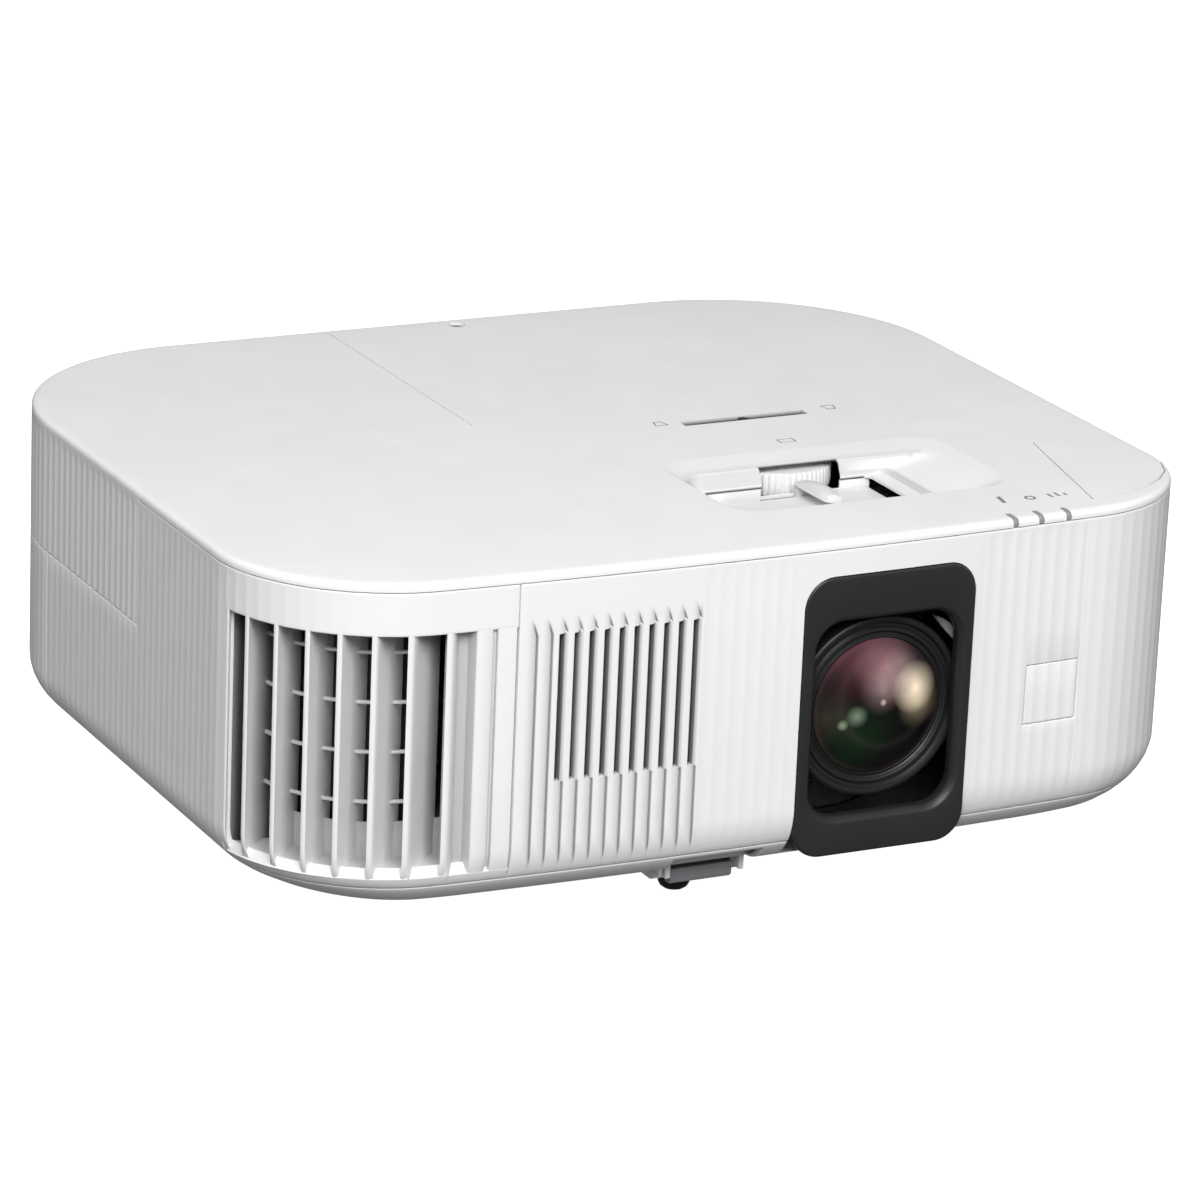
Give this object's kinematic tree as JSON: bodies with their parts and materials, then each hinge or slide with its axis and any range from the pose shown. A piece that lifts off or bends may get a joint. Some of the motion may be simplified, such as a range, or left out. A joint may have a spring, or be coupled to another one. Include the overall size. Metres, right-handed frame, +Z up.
{
  "type": "home projector",
  "caption": "White home cinema projector with rounded case, dark lens bezel, slatted exhaust corner, zoom, focus and lens shift controls, button panel and adjustable feet.",
  "frame": {"origin": "on the supporting surface, under the middle of the case", "axes": "-Y out of the lens, +X to the right of someone facing the lens, +Z up"},
  "size_m": [0.333, 0.275, 0.122],
  "materials": {
    "white_plastic": "fine satin moulded plastic",
    "light_grey_plastic": "satin moulded plastic",
    "mid_grey_plastic": "matt moulded plastic",
    "charcoal_plastic": "semi-matt dark plastic",
    "black_plastic": "matt black plastic",
    "black_rubber": "matt rubber",
    "coated_glass": "multi-coated optical glass",
    "plated_steel": "bright plated",
    "cast_aluminium": "die cast, satin",
    "circuit_board": "solder-masked glass epoxy",
    "filter_foam": "pleated filter media"
  },
  "bodies": {
    "root": {"lower_case": "white_plastic", "left_panel": "white_plastic", "front_panel": "white_plastic", "upper_case": "white_plastic", "exhaust_grille": "white_plastic", "receiver_window": "white_plastic", "foot_bracket": "white_plastic", "exhaust_louver": "charcoal_plastic", "lens_bezel": "charcoal_plastic", "terminal_panel": "charcoal_plastic", "hdmi_port_1": "plated_steel", "hdmi_port_2": "plated_steel", "usb_port": "plated_steel", "power_inlet": "black_plastic", "audio_jack": "black_plastic", "lcd_panels": "black_plastic", "lamp_housing": "black_plastic", "exhaust_fan_frame": "black_plastic", "intake_fan_frame": "black_plastic", "speaker": "black_plastic", "control_panel": "light_grey_plastic", "power_light": "light_grey_plastic", "lamp_light": "light_grey_plastic", "heat_light": "light_grey_plastic", "air_filter": "filter_foam", "colour_prism": "coated_glass", "lamp": "coated_glass", "shift_guide": "cast_aluminium", "light_engine": "mid_grey_plastic", "main_board": "circuit_board", "power_supply": "circuit_board"},
    "lamp_lid": {"lamp_cover": "white_plastic", "lamp_cover_screw": "plated_steel"},
    "filter_door": {"filter_cover": "white_plastic"},
    "lens_unit": {"lens_barrel": "black_plastic", "front_lens": "coated_glass", "rear_lens": "coated_glass", "lens_carriage": "cast_aluminium", "lens_top_cover": "light_grey_plastic"},
    "focus_control": {"focus_ring": "light_grey_plastic"},
    "zoom_control": {"zoom_ring": "light_grey_plastic"},
    "shift_control": {"lens_shift_dial": "light_grey_plastic", "lens_shift_screw": "plated_steel"},
    "keystone_control": {"keystone_slider": "charcoal_plastic"},
    "exhaust_rotor": {"exhaust_fan_rotor": "black_plastic"},
    "intake_rotor": {"intake_fan_rotor": "black_plastic"},
    "front_leg": {"front_foot": "light_grey_plastic", "front_foot_tip": "black_rubber"},
    "foot_release": {"foot_lever": "light_grey_plastic"},
    "rear_leg_left": {"rear_foot_left": "black_rubber"},
    "rear_leg_right": {"rear_foot_right": "black_rubber"},
    "power_button_body": {"power_button": "white_plastic"},
    "source_button_body": {"source_button": "white_plastic"},
    "menu_button_body": {"menu_button": "white_plastic"},
    "escape_button_body": {"escape_button": "white_plastic"},
    "enter_button_body": {"enter_button": "white_plastic"},
    "up_button_body": {"up_button": "white_plastic"},
    "down_button_body": {"down_button": "white_plastic"},
    "left_button_body": {"left_button": "white_plastic"},
    "right_button_body": {"right_button": "white_plastic"}
  },
  "joints": [
    {"name": "lens_shift", "type": "slide", "parent": "root", "child": "lens_unit", "axis": [0, 0, 1], "range_m": [-0.008, 0.008]},
    {"name": "focus_turn", "type": "hinge", "parent": "lens_unit", "child": "focus_control", "pos_m": [0.041, -0.0935, 0.063], "axis": [0, 1, 0], "range_deg": [-35, 35]},
    {"name": "zoom_turn", "type": "hinge", "parent": "lens_unit", "child": "zoom_control", "pos_m": [0.041, -0.073, 0.063], "axis": [0, 1, 0], "range_deg": [-26, 8]},
    {"name": "shift_dial_turn", "type": "hinge", "parent": "root", "child": "shift_control", "pos_m": [0.049, -0.0385, 0.116], "axis": [0, 0, 1], "range_deg": [-181, 181]},
    {"name": "keystone_slide", "type": "slide", "parent": "root", "child": "keystone_control", "axis": [1, 0, 0], "range_m": [-0.018, 0.018]},
    {"name": "lamp_cover_slide", "type": "slide", "parent": "root", "child": "lamp_lid", "axis": [-1, 0, 0], "range_m": [0, 0.05]},
    {"name": "filter_cover_hinge", "type": "hinge", "parent": "root", "child": "filter_door", "pos_m": [0.1665, 0, 0.032], "axis": [0, 1, 0], "range_deg": [0, 75]},
    {"name": "exhaust_fan_spin", "type": "hinge", "parent": "root", "child": "exhaust_rotor", "pos_m": [-0.096, -0.066, 0.068], "axis": [0.7071, 0.7071, 0], "continuous": true},
    {"name": "intake_fan_spin", "type": "hinge", "parent": "root", "child": "intake_rotor", "pos_m": [0.141, 0, 0.067], "axis": [-1, 0, 0], "continuous": true},
    {"name": "front_foot_extend", "type": "slide", "parent": "root", "child": "front_leg", "axis": [0, 0, -1], "range_m": [0, 0.03]},
    {"name": "foot_lever_press", "type": "slide", "parent": "root", "child": "foot_release", "axis": [0, 0, 1], "range_m": [0, 0.0025], "stiffness_N_per_m": 800},
    {"name": "rear_foot_left_screw", "type": "slide", "parent": "root", "child": "rear_leg_left", "axis": [0, 0, -1], "range_m": [0, 0.006]},
    {"name": "rear_foot_right_screw", "type": "slide", "parent": "root", "child": "rear_leg_right", "axis": [0, 0, -1], "range_m": [0, 0.006]},
    {"name": "power_button_press", "type": "slide", "parent": "root", "child": "power_button_body", "axis": [0, -1, 0], "range_m": [0, 0.0008], "stiffness_N_per_m": 600},
    {"name": "source_button_press", "type": "slide", "parent": "root", "child": "source_button_body", "axis": [0, -1, 0], "range_m": [0, 0.0008], "stiffness_N_per_m": 600},
    {"name": "menu_button_press", "type": "slide", "parent": "root", "child": "menu_button_body", "axis": [0, -1, 0], "range_m": [0, 0.0008], "stiffness_N_per_m": 600},
    {"name": "escape_button_press", "type": "slide", "parent": "root", "child": "escape_button_body", "axis": [0, -1, 0], "range_m": [0, 0.0008], "stiffness_N_per_m": 600},
    {"name": "enter_button_press", "type": "slide", "parent": "root", "child": "enter_button_body", "axis": [0, -1, 0], "range_m": [0, 0.0008], "stiffness_N_per_m": 600},
    {"name": "up_button_press", "type": "slide", "parent": "root", "child": "up_button_body", "axis": [0, -1, 0], "range_m": [0, 0.0008], "stiffness_N_per_m": 600},
    {"name": "down_button_press", "type": "slide", "parent": "root", "child": "down_button_body", "axis": [0, -1, 0], "range_m": [0, 0.0008], "stiffness_N_per_m": 600},
    {"name": "left_button_press", "type": "slide", "parent": "root", "child": "left_button_body", "axis": [0, -1, 0], "range_m": [0, 0.0008], "stiffness_N_per_m": 600},
    {"name": "right_button_press", "type": "slide", "parent": "root", "child": "right_button_body", "axis": [0, -1, 0], "range_m": [0, 0.0008], "stiffness_N_per_m": 600}
  ],
  "couplings": [
    {"joint": "shift_dial_turn", "follows": "lens_shift", "rad_per_m": 392.7}
  ]
}
